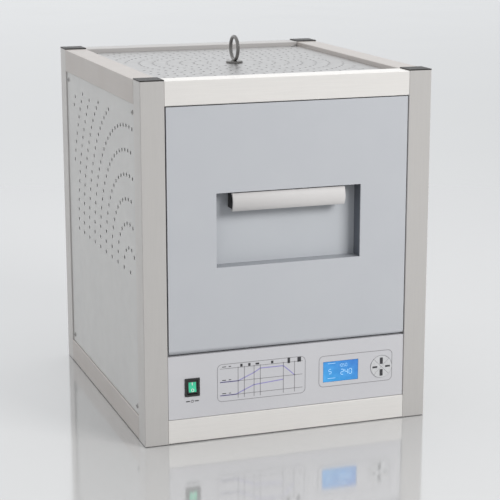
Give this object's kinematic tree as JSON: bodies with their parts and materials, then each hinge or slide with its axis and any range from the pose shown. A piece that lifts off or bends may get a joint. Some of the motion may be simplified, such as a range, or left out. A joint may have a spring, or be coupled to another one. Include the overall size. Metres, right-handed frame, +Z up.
{
  "type": "pottery kiln",
  "caption": "Front-loading electric pottery kiln: square aluminium frame, drop-down brick-lined door with recessed handle, digital controls, vent plug.",
  "frame": {"origin": "on the floor, under the middle of the square-post frame", "axes": "+Z up, -Y out of the door side, +X to the right as seen facing the door"},
  "size_m": [0.5, 0.5705, 0.6409],
  "materials": {
    "anodised_aluminium": "satin",
    "door_paint": "satin",
    "panel_paint": "satin",
    "fascia_paint": "satin",
    "bright_steel": "polished",
    "galvanised_steel": "satin",
    "screw_steel": "satin",
    "black_plastic": "satin",
    "cast_block": "matte",
    "fibre_board": "matte",
    "firebrick": "matte",
    "coil_wire": "matte",
    "terminal_brass": "satin",
    "probe_ceramic": "matte",
    "cordierite": "matte",
    "magnet_nickel": "satin",
    "grip_aluminium": "satin",
    "rope": "matte",
    "bush_bronze": "satin",
    "window_clear": "gloss",
    "display_black": "gloss",
    "board_green": "satin",
    "key_plastic": "satin",
    "switch_black": "satin",
    "rocker_green": "gloss",
    "sink_aluminium": "matte",
    "terminal_white": "matte"
  },
  "bodies": {
    "kiln": {"post_front_left": "anodised_aluminium", "post_front_right": "anodised_aluminium", "post_back_left": "anodised_aluminium", "post_back_right": "anodised_aluminium", "rail_top_front": "anodised_aluminium", "rail_bottom_front": "anodised_aluminium", "rails_back": "anodised_aluminium", "rails_side": "anodised_aluminium", "post_caps": "black_plastic", "foot_plugs": "black_plastic", "rail_end_blocks": "cast_block", "side_panel_left": "panel_paint", "side_panel_right": "panel_paint", "back_panel": "panel_paint", "top_panel": "bright_steel", "base_panel": "galvanised_steel", "panel_screws": "screw_steel", "panel_tabs": "galvanised_steel", "deck_frame": "anodised_aluminium", "deck_plate": "galvanised_steel", "insulation_boards": "fibre_board", "brick_floor": "firebrick", "brick_roof": "firebrick", "brick_back": "firebrick", "brick_left": "firebrick", "brick_right": "firebrick", "heating_element_left": "coil_wire", "heating_element_right": "coil_wire", "element_terminals": "terminal_brass", "thermocouple": "probe_ceramic", "hearth_shelf": "cordierite", "front_plate": "galvanised_steel", "catch_magnets": "magnet_nickel", "hinge_pins": "screw_steel", "fascia": "fascia_paint", "display_window": "window_clear", "display_module": "display_black", "control_board": "board_green", "switch_housing": "switch_black", "relay_heatsink": "sink_aluminium", "power_relays": "switch_black", "terminal_block": "terminal_white", "cable_gland": "black_plastic"},
    "door": {"door_skin": "door_paint", "handle_recess": "door_paint", "handle_bar": "grip_aluminium", "handle_arms": "black_plastic", "door_insulation": "fibre_board", "door_liner": "galvanised_steel", "door_brick": "firebrick", "door_gasket": "rope", "hinge_barrels": "screw_steel", "hinge_bushes": "bush_bronze"},
    "vent_plug": {"vent_eye": "bright_steel", "vent_stopper": "probe_ceramic"},
    "rocker": {"power_rocker": "rocker_green"},
    "key_up_body": {"key_up": "key_plastic"},
    "key_down_body": {"key_down": "key_plastic"},
    "key_left_body": {"key_left": "key_plastic"},
    "key_right_body": {"key_right": "key_plastic"}
  },
  "joints": [
    {"name": "door_hinge", "type": "hinge", "parent": "kiln", "child": "door", "pos_m": [0, -0.272, 0.1595], "axis": [1, 0, 0], "range_deg": [0, 90]},
    {"name": "vent_plug_lift", "type": "slide", "parent": "kiln", "child": "vent_plug", "axis": [0, 0, 1], "range_m": [0, 0.125]},
    {"name": "rocker_tilt", "type": "hinge", "parent": "kiln", "child": "rocker", "pos_m": [-0.1685, -0.2756, 0.095], "axis": [1, 0, 0], "range_deg": [0, 16]},
    {"name": "key_up_press", "type": "slide", "parent": "kiln", "child": "key_up_body", "axis": [0, 1, 0], "range_m": [0, 0.0008], "stiffness_N_per_m": 600},
    {"name": "key_down_press", "type": "slide", "parent": "kiln", "child": "key_down_body", "axis": [0, 1, 0], "range_m": [0, 0.0008], "stiffness_N_per_m": 600},
    {"name": "key_left_press", "type": "slide", "parent": "kiln", "child": "key_left_body", "axis": [0, 1, 0], "range_m": [0, 0.0008], "stiffness_N_per_m": 600},
    {"name": "key_right_press", "type": "slide", "parent": "kiln", "child": "key_right_body", "axis": [0, 1, 0], "range_m": [0, 0.0008], "stiffness_N_per_m": 600}
  ]
}
